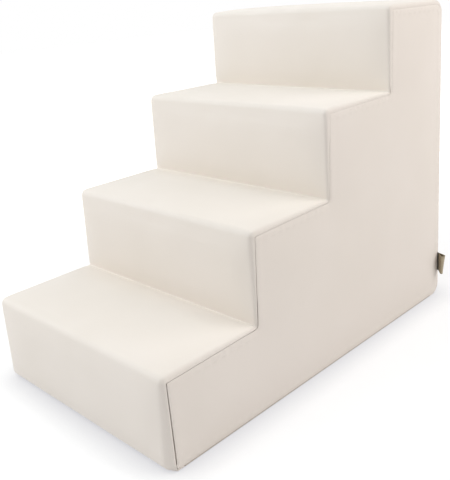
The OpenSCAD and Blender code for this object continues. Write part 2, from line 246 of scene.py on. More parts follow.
def skin(rows, places):
    """Points and outward directions of a panel, rows of stations by places across."""
    y, z, out_y, out_z, crown, roll, sink = (rows[:, i, None] for i in range(7))
    share, angle, extra, draw = (places[None, :, i] for i in range(4))
    side = np.sign(share)
    loose = looseness(rows)[:, None]
    extra, draw = extra * loose, draw * loose
    deep = np.maximum(roll - LIP * loose - sink, LIP / 4)
    tight = TAUT * loose * (angle > 0)
    full = 1 - SQUARE * np.clip(1 - loose, 0, 1)
    over, down = np.sin(angle) ** full, 1 - np.cos(angle) ** full
    over, down = over + tight * (down - over) / 2, down + tight * (over - down) / 2
    x = share * (HALF - roll) + side * ((roll - sink) * over - draw)
    depth = sink + deep * down + extra - CROWN * crown * (1 - share ** 2)
    points = np.stack([x, y - out_y * depth - DEPTH / 2, z - out_z * depth], -1)
    out = np.stack([side * np.sin(angle) + 0 * y, out_y * np.cos(angle), out_z * np.cos(angle)], -1)
    return points, out


def run_length(rows):
    """How far along the outline each station lies from the first."""
    steps = np.hypot(*np.diff(rows[:, :2], axis=0).T) + np.abs(np.diff(rows[:, SUNK]))
    return np.concatenate([[0], np.cumsum(steps)])


def edge_distance(places):
    """Distance of each place across from the nearer side seam, along the surface."""
    share, angle, _, draw = places.T
    flat = EDGE_ROLL * math.pi / 2 + (1 - np.abs(share)) * HALF_FLAT
    rolled = EDGE_ROLL * (math.pi / 2 - angle)
    return np.where(angle > 0, rolled, flat) * (draw == 0)


def across(places):
    """Where each place lies across the panel, along the surface, negative on the left."""
    share, angle, extra, draw = places.T
    return np.sign(share) * (np.abs(share) * HALF_FLAT + EDGE_ROLL * angle + extra + draw)


# Small irregularities of sewn fabric: how many waves make up a slow one, and a gather, and the
# shortest, longest and slow length of a gather

WAVES = 9
GATHER_WAVES = 7
GATHER_SHORT, GATHER_LONG, GATHER_SLOW = 0.006, 0.019, 0.083


def smooth(x):
    x = np.clip(x, 0, 1)
    return x * x * (3 - 2 * x)


def slow_waves(points, length, seed):
    """A gentle unevenness with waves of about the given length, between -1 and 1."""
    rng = np.random.default_rng(seed)
    ways = rng.normal(size=(WAVES, 3))
    size = 2 * math.pi / length * rng.uniform(0.6, 1.5, WAVES)
    ways *= (size / np.linalg.norm(ways, axis=1))[:, None]
    return np.sin(points @ ways.T + rng.uniform(0, 2 * math.pi, WAVES)).sum(-1) / 4


def gathers(along, seed):
    """Fine uneven gathers along a seam, between -1 and 1."""
    rng = np.random.default_rng(seed)
    waves = rng.uniform(GATHER_SHORT, GATHER_LONG, GATHER_WAVES)
    phases = rng.uniform(0, 2 * math.pi, GATHER_WAVES)
    fine = sum(np.sin(2 * math.pi * along / w + p) for w, p in zip(waves, phases)) / 3
    slow = 0.6 + 0.4 * np.sin(2 * math.pi * along / GATHER_SLOW + seed)
    return fine * slow


# Meshes

def tuned(thing, **settings):
    for name, value in settings.items():
        setattr(thing, name, value)
    return thing


def add_object(name, data):
    made = bpy.data.objects.new(name, data)
    bpy.context.scene.collection.objects.link(made)
    return made


def new_mesh(name, points, faces):
    mesh = bpy.data.meshes.new(name)
    mesh.from_pydata(points, [], faces)
    return mesh


def make_piece(name, points, faces, material, replaced=()):
    """A visible piece on the stairs' body and the solids that it replaces."""
    mesh = new_mesh(name, [tuple(p) for p in points], [tuple(int(i) for i in f) for f in faces])
    mesh.validate()
    mesh.materials.append(material)
    mesh.polygons.foreach_set("use_smooth", [True] * len(mesh.polygons))
    piece = add_object(name, mesh)
    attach(piece, "stairs")
    if replaced:
        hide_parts(*replaced)
    return piece


def grid_faces(rows, cols):
    j, i = np.meshgrid(np.arange(rows - 1), np.arange(cols - 1), indexing="ij")
    a = (j * cols + i).ravel()
    return np.stack([a, a + 1, a + cols + 1, a + cols], -1)


def thicken(piece):
    """Gives a fabric its thickness, inward from its outer face."""
    tuned(piece.modifiers.new("thickness", "SOLIDIFY"), thickness=SKIN_THICK, offset=-1)
    return piece


# Simulated swelling of the panels over the foam: frames, and the most that a point may rise

SWELL_FRAMES = 20
SWELL_CAP = 0.003


def ring_twin(rows, places):
    """A coarse twin of a panel of the ring, held at its seams and in the inner corners."""
    points, out = skin(rows, places)
    held = np.zeros(points.shape[:2], bool)
    held[[0, -1], :] = True
    held[:, [0, -1]] = True
    held |= rows[:, PINNED, None] > 0
    return {"points": points, "out": out, "held": held, "rows": run_length(rows),
            "cols": across(places), "faces": grid_faces(*held.shape)}


def side_twins():
    """Coarse twins of both side panels, held at their seam."""
    loop, _ = seam_loop(TWIN_CELL)
    low, high = loop.min(0), loop.max(0)
    ys = np.arange(low[0], high[0] + TWIN_CELL, TWIN_CELL)
    zs = np.arange(low[1], high[1] + TWIN_CELL, TWIN_CELL)
    flat = np.stack(np.meshgrid(ys, zs, indexing="ij"), -1)
    away, _ = seam_distance(flat.reshape(-1, 2), loop)
    away = away.reshape(flat.shape[:2])
    faces = grid_faces(*away.shape)
    faces = faces[(away.ravel()[faces] > -TWIN_CELL / 2).all(1)]
    made = {}
    for name, side in (("left", -1), ("right", 1)):
        x = np.full(away.shape, side * HALF)
        made[name] = {"points": np.stack([x, flat[..., 0], flat[..., 1]], -1),
                      "out": np.array([side, 0, 0]), "held": away < TWIN_CELL / 2, "rows": ys,
                      "cols": zs, "faces": faces if side < 0 else faces[:, ::-1]}
    return made


def twin_panels():
    """Coarse twins of all panels but the base and the tabs."""
    runs = stretches(TWIN_CELL, TWIN_ARC_STEP)
    places = full_width(TWIN_CELL, TWIN_ARC_STEP, False)
    made = {name: ring_twin(runs[name], places) for name in ("front", "upper", "lower")}
    made.update(side_twins())
    return made


def swollen(points, faces, held):
    """Where the points of the twins end up in a cloth simulation with pressure inside."""
    mesh = new_mesh("swelling_twin", points.tolist(), faces.tolist())
    twin_object = add_object("swelling_twin", mesh)
    used = np.zeros(len(points), bool)
    used[faces.ravel()] = True
    group = twin_object.vertex_groups.new(name="held")
    group.add([int(i) for i in np.flatnonzero(held | ~used)], 1.0, "REPLACE")
    cloth = tuned(
        twin_object.modifiers.new("swelling", "CLOTH").settings, quality=6, mass=0.3,
        tension_stiffness=25, compression_stiffness=25, shear_stiffness=8, bending_stiffness=4,
        use_pressure=True, uniform_pressure_force=0.9, vertex_group_mass="held")
    cloth.effector_weights.gravity = 0
    scene = bpy.context.scene
    for number in range(1, SWELL_FRAMES + 1):
        scene.frame_set(number)
    shaped = twin_object.evaluated_get(bpy.context.evaluated_depsgraph_get()).to_mesh()
    moved = np.empty(len(points) * 3, np.float32)
    shaped.vertices.foreach_get("co", moved)
    scene.frame_set(1)
    bpy.data.objects.remove(twin_object)
    return moved.reshape(-1, 3)


def simulate_swelling():
    """Runs one simulation on all twins, and keeps how far each point rose."""
    twins = twin_panels()
    points, faces, held, first = [], [], [], 0
    for twin in twins.values():
        twin["first"] = first
        flat = twin["points"].reshape(-1, 3)
        points.append(flat)
        faces.append(twin["faces"] + first)
        held.append(twin["held"].ravel())
        first += len(flat)
    points = np.concatenate(points)
    rise = swollen(points, np.concatenate(faces), np.concatenate(held)) - points
    for twin in twins.values():
        count = twin["held"].size
        part = rise[twin["first"]:twin["first"] + count].reshape(twin["points"].shape)
        up = np.clip((part * twin["out"]).sum(-1), 0, SWELL_CAP)
        for _ in range(2):
            wide = np.pad(up, 1, mode="edge")
            up = (4 * up + wide[:-2, 1:-1] + wide[2:, 1:-1] + wide[1:-1, :-2] + wide[1:-1, 2:]) / 8
        twin["rise"] = up * ~twin["held"]
    return twins


def sampled(twin, rows, cols):
    """The twin's rise at each pair of row and column places, rows by columns."""
    along = np.stack([np.interp(rows, twin["rows"], line) for line in twin["rise"].T], 1)
    return np.stack([np.interp(cols, twin["cols"], line) for line in along])


def sampled_points(twin, rows, cols):
    """The twin's rise at scattered places."""
    last_row, last_col = len(twin["rows"]) - 1, len(twin["cols"]) - 1
    j = np.clip(np.interp(rows, twin["rows"], np.arange(last_row + 1)), 0, last_row - TINY)
    i = np.clip(np.interp(cols, twin["cols"], np.arange(last_col + 1)), 0, last_col - TINY)
    j0, i0 = j.astype(int), i.astype(int)
    v, u = smooth(j - j0), smooth(i - i0)
    rise = twin["rise"]
    low = rise[j0, i0] * (1 - u) + rise[j0, i0 + 1] * u
    high = rise[j0 + 1, i0] * (1 - u) + rise[j0 + 1, i0 + 1] * u
    return low * (1 - v) + high * v


# The side seam, which runs round the whole outline inside the side edges: how many points are
# measured from it at a time, and where it turns at the steps

CHUNK = 2000
INNER_CORNERS = [((k + 1) * TREAD - DEPTH / 2, (k + 1) * RISE) for k in range(STEPS - 1)]
NOSING_CORNERS = [(k * TREAD - DEPTH / 2, (k + 1) * RISE) for k in range(STEPS)]


def seam_loop(spacing, inset=0):
    """Even points of the side seam, seen from the side, with how open it stands at each."""
    runs = stretches(CELL, ARC_STEP)
    rows = np.vstack([runs[name][:-1] for name in ("front", "upper", "window", "lower", "base")])
    loop = rows[:, :2] - rows[:, 2:4] * (rows[:, ROLLED] + inset * looseness(rows))[:, None]
    loop[:, 0] -= DEPTH / 2
    loop = np.column_stack([loop, looseness(rows)])
    closed = np.vstack([loop, loop[:1]])
    lengths = path_length(closed[:, :2])
    count = round(lengths[-1] / spacing)
    at = np.linspace(0, lengths[-1], count + 1)[:-1]
    even = np.stack([np.interp(at, lengths, closed[:, i]) for i in range(3)], 1)
    return even[:, :2], even[:, 2]


def seam_distance(flat, loop):
    """Distance inside the seam loop, and the place along it, for each flat point."""
    start, end = loop, np.roll(loop, -1, axis=0)
    way = end - start
    size = (way ** 2).sum(1)
    before = np.concatenate([[0], np.cumsum(np.sqrt(size))[:-1]])
    away, place = np.empty(len(flat)), np.empty(len(flat))
    for first in range(0, len(flat), CHUNK):
        p = flat[first:first + CHUNK, None, :]
        share = np.clip(((p - start) * way).sum(-1) / size, 0, 1)
        gap = np.linalg.norm(p - start - share[..., None] * way, axis=-1)
        best = gap.argmin(1)
        pick = np.arange(len(best))
        crosses = (start[:, 1] > p[..., 1]) != (end[:, 1] > p[..., 1])
        with np.errstate(divide="ignore", invalid="ignore"):
            cut = start[:, 0] + (p[..., 1] - start[:, 1]) / way[:, 1] * way[:, 0]
        inside = (crosses & (p[..., 0] < cut)).sum(1) % 2 == 1
        away[first:first + CHUNK] = gap[pick, best] * np.where(inside, 1, -1)
        place[first:first + CHUNK] = before[best] + share[pick, best] * np.sqrt(size[best])
    return away, place


def near_points(y, z, corners, reach):
    """A soft spot, 1 at each corner, that fades with the distance."""
    return sum(np.exp(-((y - c[0]) ** 2 + (z - c[1]) ** 2) / reach ** 2) for c in corners)


# Panels of the cover: height of the gathers, depth of the dimples at inner corners and nosings,
# slow unevenness and the length of its waves, how far these reach and fade, how far from a seam
# they start, and the seeds of the irregularities

GATHER = 0.00035
DIMPLE = 0.0014
NOSING_DIP = 0.0012
UNEVEN, UNEVEN_LENGTH, SIDE_UNEVEN_LENGTH = 0.0003, 0.11, 0.12
GATHER_REACH, SIDE_GATHER_REACH = 0.006, 0.007
INNER_REACH, NOSING_REACH, SIDE_INNER_REACH = 0.009, 0.010, 0.014
INNER_FADE, NOSING_FADE, SIDE_INNER_FADE = 0.011, 0.012, 0.010
SEAM_CLEAR, DIMPLE_CLEAR = 0.003, 0.002
EVEN_EDGE = 0.05
LEFT_SEED, RIGHT_SEED = 3, 8
UNEVEN_SEED, SIDE_UNEVEN_SEED = 5, 11


def corner_dips(y, z, from_seam):
    """How far the fabric is drawn in where a side seam turns."""
    inner = DIMPLE * near_points(y, z, INNER_CORNERS, INNER_REACH)
    nosing = NOSING_DIP * near_points(y, z, NOSING_CORNERS, NOSING_REACH)
    return (inner * np.exp(-(from_seam / INNER_FADE) ** 2)
            + nosing * np.exp(-(from_seam / NOSING_FADE) ** 2))


def cover_relief(rows, places, points, unevenness, gathered):
    """How far gathers, unevenness and dimples lift each point of a panel."""
    from_seam = edge_distance(places)[None, :]
    left, right = (gathers(run_length(rows), seed)[:, None] for seed in (LEFT_SEED, RIGHT_SEED))
    ripple = np.where(places[:, 0] < 0, left, right)
    lift = gathered * ripple * np.exp(-from_seam / GATHER_REACH)
    lift = lift * smooth(from_seam / SEAM_CLEAR)
    waves = slow_waves(points, UNEVEN_LENGTH, UNEVEN_SEED)
    lift = lift + unevenness * waves * smooth(from_seam / EVEN_EDGE)
    return lift - corner_dips(points[..., 1], points[..., 2], from_seam)


def cover_panel(name, stretch, places, material, replaced, twin=None,
                unevenness=UNEVEN, gathered=GATHER):
    """A panel of the ring: rolled, crowned, swollen and gathered at its seams."""
    rows = with_lips(stretches(CELL, ARC_STEP)[stretch])
    points, out = skin(rows, places)
    along, wide = run_length(rows), across(places)
    lift = cover_relief(rows, places, points, unevenness, gathered)
    if twin is not None:
        lift = lift + sampled(twin, along, wide)
    level = rows[:, SUNK, None] == 0
    lift = lift * level * (edge_distance(places) > 0)
    points = points + out * lift[..., None]
    faces = grid_faces(*points.shape[:2])
    piece = make_piece(name, points.reshape(-1, 3), faces, material, replaced)
    return thicken(piece)


# A side panel: distances of its rings of points from the seam, fineness of seam and middle, the
# seam allowance that shows through, how far the middle stands out, and the fan of gathers at the
# low front corner

SIDE_RINGS = (0.0003, 0.0006, 0.001, 0.0016, 0.0024, 0.0034, 0.0046, 0.006, 0.0074, 0.0084, 0.0094,
              0.0106, 0.0122, 0.0145, 0.0175)
SEAM_SPACING = 0.0027
SIDE_CELL = 0.006
ALLOWANCE, ALLOWANCE_RISE = 0.009, 0.0005
ALLOWANCE_START, ALLOWANCE_END = 0.002, 0.0022
PILLOW, PILLOW_REACH = 0.0012, 0.045
FAN = 0.0005
FAN_START, FAN_REACH = 0.012, 0.030
FAN_WIDE, FAN_FINE, FAN_FINE_SHARE = 23, 41, 0.6

# Its mesh: a short way inward, spacing of the points of wide rings, how exactly a point lies on
# its ring, height of a row and gap to the last ring in cells, and how near two points are one

PROBE = 0.0005
RING_SPACING = 0.004
RING_SHARE, RING_SLACK = 0.02, 0.00002
ROW_SHARE, MIDDLE_GAP = 0.87, 0.6
SAME_POINT = 1e-7


def fan(y, z, seed):
    """Gathers that spread like a fan from the low front corner of a side."""
    away = np.hypot(y + DEPTH / 2, z)
    angle = np.arctan2(z, y + DEPTH / 2)
    fine = FAN_FINE_SHARE * np.sin(FAN_FINE * angle + 2 * seed)
    folds = np.sin(FAN_WIDE * angle + seed) + fine
    return folds * smooth(away / FAN_START) * np.exp(-(away / FAN_REACH) ** 2)


def side_mesh_points(loop):
    """Points of a side panel, in rings inside its seam and evenly in the middle."""
    way = np.roll(loop, -1, axis=0) - np.roll(loop, 1, axis=0)
    inward = np.stack([way[:, 1], -way[:, 0]], 1) / np.linalg.norm(way, axis=1)[:, None]
    probe, _ = seam_distance(loop + inward * PROBE, loop)
    if probe.mean() < 0:
        inward = -inward
    made = [loop]
    for ring in SIDE_RINGS:
        step = max(1, round(ring / RING_SPACING))
        line = (loop + inward * ring)[::step]
        away, _ = seam_distance(line, loop)
        made.append(line[np.abs(away - ring) < ring * RING_SHARE + RING_SLACK])
    low, high = loop.min(0), loop.max(0)
    field = []
    for row, z in enumerate(np.arange(low[1], high[1], SIDE_CELL * ROW_SHARE)):
        ys = np.arange(low[0], high[0], SIDE_CELL) + (row % 2) * SIDE_CELL / 2
        field += [(y, z) for y in ys]
    field = np.array(field)
    away, _ = seam_distance(field, loop)
    made.append(field[away > SIDE_RINGS[-1] + SIDE_CELL * MIDDLE_GAP])
    return np.vstack(made), len(loop)


def side_relief(y, z, away, place, loose, side):
    """How far a side panel stands out from the stairs' side, without the swelling."""
    radius = SIDE_LIP * np.interp(place, np.linspace(0, place.max(), len(loose)), loose)
    lip = np.clip(away, 0, radius)
    height = np.sqrt(np.maximum(radius ** 2 - (radius - lip) ** 2, 0)) - radius
    started = smooth((away - SIDE_LIP) / ALLOWANCE_START)
    height += ALLOWANCE_RISE * started * (1 - smooth((away - ALLOWANCE) / ALLOWANCE_END))
    ripple = gathers(place, RIGHT_SEED if side > 0 else LEFT_SEED)
    clear = smooth(away / SEAM_CLEAR)
    height += GATHER * ripple * np.exp(-away / SIDE_GATHER_REACH) * clear
    spot = near_points(y, z, INNER_CORNERS, SIDE_INNER_REACH)
    height -= DIMPLE * spot * np.exp(-away / SIDE_INNER_FADE) * smooth(away / DIMPLE_CLEAR)
    height += FAN * fan(y, z, side) * clear
    return height + PILLOW * (1 - np.exp(-away / PILLOW_REACH))


def turned_edge(points, order, side):
    """Points and faces that turn a side panel's edge in to its seam."""
    rim = points[order].copy()
    rim[:, 0] = side * (HALF - SEAM_DEPTH)
    first = len(points)
    pairs = [(i, (i + 1) % len(order)) for i in range(len(order))]
    quads = [[order[j], order[i], first + i, first + j] for i, j in pairs]
    return rim, [quad if side > 0 else quad[::-1] for quad in quads]


def side_panel(name, side, material, replaced, twin=None):
    loop, loose = seam_loop(SEAM_SPACING, SEAM_GAP)
    flat, edge_count = side_mesh_points(loop)
    edges = [(i, (i + 1) % edge_count) for i in range(edge_count)]
    verts, _, faces, origins, _, _ = delaunay_2d_cdt(
        [tuple(p) for p in flat], edges, [], 1, SAME_POINT)
    y, z = np.array([tuple(v) for v in verts]).T
    away, place = seam_distance(np.stack([y, z], 1), loop)
    away = np.maximum(away, 0)
    height = side_relief(y, z, away, place, loose, side)
    points = np.stack([side * (HALF + height), y, z], 1)
    waves = slow_waves(points, SIDE_UNEVEN_LENGTH, SIDE_UNEVEN_SEED)
    points[:, 0] += side * UNEVEN * waves * smooth(away / EVEN_EDGE)
    if twin is not None:
        points[:, 0] += side * sampled_points(twin, y, z)
    faces = [f if side > 0 else f[::-1] for f in faces]
    edge = [i for i, o in enumerate(origins) if any(j < edge_count for j in o)]
    rim, turned = turned_edge(points, sorted(edge, key=lambda i: place[i]), side)
    piece = make_piece(name, np.vstack([points, rim]), [*faces, *turned], material,
                       replaced)
    return thicken(piece)


# Foam slabs under the cover, and the dent behind the zip, which is as long as the tapes

FOAM = ["foam_%d" % (k + 1) for k in range(STEPS)]
FOAM_VOXEL = 0.008
TAPE_END = 0.188
DENT_DEPTH = 0.0035


def baked(piece):
    """Turns the piece's modifiers into its own mesh."""
    shaped = piece.evaluated_get(bpy.context.evaluated_depsgraph_get())
    mesh = bpy.data.meshes.new_from_object(shaped)
    piece.modifiers.clear()
    piece.data = mesh


def loose_box(low, high):
    corners = [(x, y, z) for x in (low[0], high[0]) for y in (low[1], high[1])
               for z in (low[2], high[2])]
    faces = [(0, 1, 3, 2), (4, 6, 7, 5), (0, 4, 5, 1), (2, 3, 7, 6), (0, 2, 6, 4), (1, 5, 7, 3)]
    return add_object("cutter", new_mesh("cutter", corners, faces))


def foam_slab(step, material):
    """A slab with softened edges, made from its solid, and hollowed behind the zip."""
    solid = "foam_step_%d" % step
    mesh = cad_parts[solid].data.copy()
    mesh.materials.clear()
    piece = add_object(FOAM[step - 1], mesh)
    tuned(piece.modifiers.new("remesh", "REMESH"), mode="VOXEL", voxel_size=FOAM_VOXEL,
          use_smooth_shade=True)
    tuned(piece.modifiers.new("soften", "SMOOTH"), factor=0.5, iterations=3)
    cutter = None
    if step == 1:
        back, reach = DEPTH / 2, ZIP_WINDOW / 2
        cutter = loose_box((-TAPE_END, back - COVER_THICK - DENT_DEPTH, ZIP_HEIGHT - reach),
                           (TAPE_END, back, ZIP_HEIGHT + reach))
        tuned(piece.modifiers.new("dent", "BOOLEAN"), operation="DIFFERENCE", object=cutter)
    baked(piece)
    if cutter is not None:
        bpy.data.objects.remove(cutter)
    piece.data.materials.append(material)
    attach(piece, "stairs")
    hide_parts(solid)
    return piece


# Zip tapes: width, thickness, distance of the beaded edge from the middle of the zip, spacing of
# stations, radius of the bead, place and thickness of the neck and the outer edge as a share,
# places of the flat part as a share of the width, and the slow waves

TAPE_WIDTH = 0.014
TAPE_THICK = 0.0006
TAPE_EDGE = 0.0016
TAPE_STEP = 0.004
BEAD = 0.00045
NECK_PLACE, NECK_THICK, OUTER_THICK = 2.4, 0.42, 0.25
TAPE_FLATS = (0.2, 0.35, 0.5, 0.65, 0.8, 0.97)
TAPE_WAVE, TAPE_PITCH, TAPE_BEAT = 0.00012, 290, 61
WAVE_START, WAVE_FULL = 0.004, 0.006


def closed_faces(count, size, first=0):
    """Faces of a closed form through rings of points, with a cap on each end."""
    faces = []
    for ring in range(first, first + (count - 1) * size, size):
        for i in range(size):
            a, b = ring + i, ring + (i + 1) % size
            faces.append((a, b, b + size, a + size))
    last = first + (count - 1) * size
    return faces + [tuple(range(first, first + size))[::-1], tuple(range(last, last + size))]


def tube(name, rings, material, replaced):
    """A closed form through rings of points."""
    rings = np.array(rings, float)
    faces = closed_faces(*rings.shape[:2])
    return make_piece(name, rings.reshape(-1, 3), faces, material, replaced)


def tape_profile():
    """Half thickness of a tape against the distance from the middle of the zip."""
    edge = [(TAPE_EDGE + BEAD * (1 - math.cos(a)), BEAD * math.sin(a))
            for a in np.linspace(0, math.pi * 0.75, 7)]
    neck = [(TAPE_EDGE + NECK_PLACE * BEAD, TAPE_THICK * NECK_THICK)]
    flat = [(TAPE_EDGE + share * TAPE_WIDTH, TAPE_THICK / 2) for share in TAPE_FLATS]
    outer = [(TAPE_EDGE + TAPE_WIDTH, TAPE_THICK * OUTER_THICK)]
    upper = edge + neck + flat + outer
    return upper + [(u, -v) for u, v in reversed(upper[1:])]


def zip_tape(name, side, material, replaced):
    """A woven tape with a beaded edge, which waves a little between its stitches."""
    plane = DEPTH / 2 - COVER_THICK - TAPE_THICK / 2
    rings = []
    for x in np.arange(-TAPE_END, TAPE_END + TINY, TAPE_STEP):
        wave = TAPE_WAVE * math.sin(x * TAPE_PITCH + side) * math.sin(x * TAPE_BEAT + 1)
        rings.append([(x, plane + v + wave * smooth((u - WAVE_START) / WAVE_FULL),
                       ZIP_HEIGHT + side * u) for u, v in tape_profile()])
    if side < 0:
        rings = [ring[::-1] for ring in rings]
    piece = tube(name, rings, material, replaced)
    return piece


def tab_places(side):
    """Places across an end tab: from its folded end to the side seam."""
    inner = side * TAB_START / HALF_FLAT
    rows = end_fold(-side, inner)[::-1] + flat_places(inner, side, CELL)
    rows += roll_places(side, ROLL_STEP)
    return np.array(rows if side > 0 else rows[::-1])


# Stitches: length, spacing, radius of the thread, its rise in radii, the share of its thickness at
# the ends, and distances of a row from the zip's window and from the side edges

STITCH_LENGTH = 0.0026
STITCH_STEP = 0.0034
STITCH_RADIUS = 0.00028
STITCH_RISE = 2.4
STITCH_END = 0.55
STITCH_FROM_WINDOW = 0.0028
STITCH_FROM_SIDE = 0.004


def stitch(start, end, out):
    """Rings of one sewn stitch, which rises out of the fabric and dips back into it."""
    start, end, out = (np.array(v, float) for v in (start, end, out))
    along = (end - start) / np.linalg.norm(end - start)
    beside = np.cross(along, out)
    rings = []
    for share in np.linspace(0, 1, 7):
        arch = math.sin(math.pi * share)
        middle = start + (end - start) * share + out * STITCH_RADIUS * (STITCH_RISE * arch - 1)
        radius = STITCH_RADIUS * (STITCH_END + (1 - STITCH_END) * arch)
        rings.append([middle + radius * (math.cos(a) * beside + math.sin(a) * out)
                      for a in np.linspace(0, 2 * math.pi, 7)[:-1]])
    return rings


def stitch_row(name, z, material):
    """A row of stitches across the back at one height."""
    reach = HALF_FLAT - STITCH_FROM_SIDE
    points, faces = [], []
    for x in np.arange(-reach, reach - STITCH_LENGTH, STITCH_STEP):
        rings = stitch((x, DEPTH / 2, z), (x + STITCH_LENGTH, DEPTH / 2, z), (0, 1, 0))
        faces += closed_faces(len(rings), len(rings[0]), len(points))
        points += [point for ring in rings for point in ring]
    return make_piece(name, points, faces, material)


# The folded ribbon tag: width, length, height of its middle, radius of the fold, lean, the length
# that the seam holds and the ribbon's thickness. Then how much wider it opens at the top, how far
# its lower end turns and shortens, and how far the fold hangs.

TAG_WIDTH = 0.036
TAG_LENGTH = 0.018
TAG_HEIGHT = 0.065
TAG_FOLD = 0.0026
TAG_LEAN = math.radians(18)
TAG_SEWN = 0.002
RIBBON = 0.0005
TAG_OPENING = 0.7
TAG_TURN, TAG_SHORTER = 0.22, 0.10
TAG_DROOP, TAG_DROOP_CURVE = 0.0036, 1.2


def tag_line():
    """Middle line of the folded ribbon: out from the seam, round the fold and back."""
    centre = TAG_LENGTH - TAG_FOLD - RIBBON / 2
    leg = []
    for s in np.linspace(0, centre, 12):
        parted = smooth((s - TAG_SEWN) / (centre - TAG_SEWN))
        leg.append((s, -(RIBBON / 2 + (TAG_FOLD - RIBBON / 2) * parted)))
    fold = [(centre + TAG_FOLD * math.sin(a), -TAG_FOLD * math.cos(a))
            for a in np.linspace(0, math.pi, 13)[1:-1]]
    return leg + fold + [(s, -v) for s, v in reversed(leg)]


def ribbon_tag(name, material):
    """The folded ribbon tag in the seam at the low right of the back."""
    line = np.array(tag_line())
    way = np.gradient(line, axis=0)
    normal = np.stack([way[:, 1], -way[:, 0]], 1) / np.linalg.norm(way, axis=1)[:, None]
    outer, inner = line + normal * RIBBON / 2, line - normal * RIBBON / 2
    s, v = np.vstack([outer, inner[::-1]]).T
    root = HALF + RIBBON * math.sin(TAG_LEAN), DEPTH / 2 - EDGE_ROLL
    rings = []
    for share in np.linspace(0, 1, 19):
        open_v = v * (1 + TAG_OPENING * share ** 3)
        lean = TAG_LEAN + TAG_TURN * (1 - share) * (s / TAG_LENGTH)
        reach = s * (1 - TAG_SHORTER * (1 - share))
        z = TAG_HEIGHT + TAG_WIDTH * (share - 0.5) - TAG_DROOP * (s / TAG_LENGTH) ** TAG_DROOP_CURVE
        rings.append(np.stack([root[0] + reach * np.cos(lean) + open_v * np.sin(lean),
                               root[1] - reach * np.sin(lean) + open_v * np.cos(lean), z], 1))
    piece = tube(name, rings, material, ["ribbon_tag"])
    return piece


def finish_node(node, material, bevel, segments):
    """Gives a hard part its material and slightly rounded edges."""
    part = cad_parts[node]
    part.data.materials.clear()
    part.data.materials.append(material)
    tuned(part.modifiers.new("weld", "WELD"), merge_threshold=0.00001)
    tuned(part.modifiers.new("edges", "BEVEL"), width=bevel, segments=segments,
          limit_method="ANGLE", angle_limit=math.radians(35), harden_normals=True)
    part.data.polygons.foreach_set("use_smooth", [True] * len(part.data.polygons))


# Parts of a material

def fill(tree, node, values):
    """Sets inputs of a node, or links them where the value is another node's output."""
    for name, value in values.items():
        if isinstance(value, bpy.types.NodeSocket):
            tree.links.new(value, node.inputs[name])
        else:
            node.inputs[name].default_value = value
    return node


def add_node(tree, kind, values=None, **settings):
    node = tuned(tree.nodes.new("ShaderNode" + kind), **settings)
    return fill(tree, node, values or {})


def on_object(tree, kind, values=None, **settings):
    """A node that is fed with the place on the object."""
    node = add_node(tree, kind, values, **settings)
    return fill(tree, node, {"Vector": add_node(tree, "TexCoord").outputs["Object"]})


def noise(tree, scale, detail=3):
    return on_object(tree, "TexNoise", {"Scale": scale, "Detail": detail}).outputs["Fac"]


def combined(tree, operation, first, second):
    return add_node(tree, "Math", {0: first, 1: second}, operation=operation).outputs[0]


def weave(tree, along_x, along_z):
    """Two crossing rows of threads, each with its own values."""
    rows = [on_object(tree, "TexWave", values, bands_direction=way).outputs["Fac"]
            for way, values in (("X", along_x), ("Z", along_z))]
    return combined(tree, "MULTIPLY", *rows)


def ramp(tree, factor, stops):
    """A colour that follows the factor through the stops, each a position and a colour."""
    node = add_node(tree, "ValToRGB", {"Fac": factor})
    elements = node.color_ramp.elements
    while len(elements) < len(stops):
        elements.new(0.5)
    for element, (position, colour) in zip(elements, stops):
        element.position = position
        element.color = (*colour, 1)
    return node.outputs["Color"]


def mapped(tree, factor, low, high, start=0, end=1, shape="LINEAR"):
    """Goes from low to high as the factor goes from the start to the end."""
    values = {"Value": factor, "To Min": low, "To Max": high, "From Min": start, "From Max": end}
    return add_node(tree, "MapRange", values, interpolation_type=shape).outputs["Result"]


def bump(tree, height, distance, **values):
    values = {"Height": height, "Distance": distance, **values}
    return add_node(tree, "Bump", values).outputs["Normal"]


def srgb(red, green, blue):
    """A colour as it is seen, from 0 to 255, as linear light."""
    return tuple(((c / 255 + 0.055) / 1.055) ** 2.4 if c > 10 else c / 255 / 12.92
                 for c in (red, green, blue))


def new_material(name):
    material = bpy.data.materials.new(name)
    material.use_nodes = True
    return material, material.node_tree


def dress(tree, colour, roughness, relief, **values):
    values = {key.replace("_", " "): value for key, value in values.items()}
    fill(tree, tree.nodes["Principled BSDF"],
         {"Base Color": colour, "Roughness": roughness, "Normal": relief, **values})


# Materials. Scales are in waves or cells to the metre, and reliefs in metres. First come the
# rubber dots of the base, the bands and shade of the ribbon, and the tones of the foam.

DOT_SPACING = 0.007
DOT_SHARE, DOT_EDGE = 0.32, 0.12
DOT_RISE = 0.0006
RIBBON_BANDS = ((0.0, (104, 84, 50)), (0.14, (112, 92, 58)), (0.22, (164, 146, 110)),
                (0.62, (168, 151, 116)), (0.70, (205, 192, 162)), (1.0, (212, 200, 172)))
RIBBON_SHADE = (0.45, 0.43, 0.40)
FOAM_PORE, FOAM_TONE = (214, 198, 158), (243, 233, 203)
WHITE = (1, 1, 1)


def leatherette(name, colour, darker):
    """Matt coated fabric with a fine grain and a slight unevenness of tone."""
    material, tree = new_material(name)
    cells = on_object(tree, "TexVoronoi", {"Scale": 950}, feature="SMOOTH_F1")
    grain = bump(tree, cells.outputs["Distance"], 0.00008)
    dress(tree, ramp(tree, noise(tree, 6, 2), ((0.3, darker), (0.7, colour))),
          mapped(tree, noise(tree, 60, 4), 0.5, 0.68),
          bump(tree, noise(tree, 220, 5), 0.00010, Normal=grain),
          Specular_IOR_Level=0.32, Sheen_Weight=0.12, Sheen_Roughness=0.45)
    return material


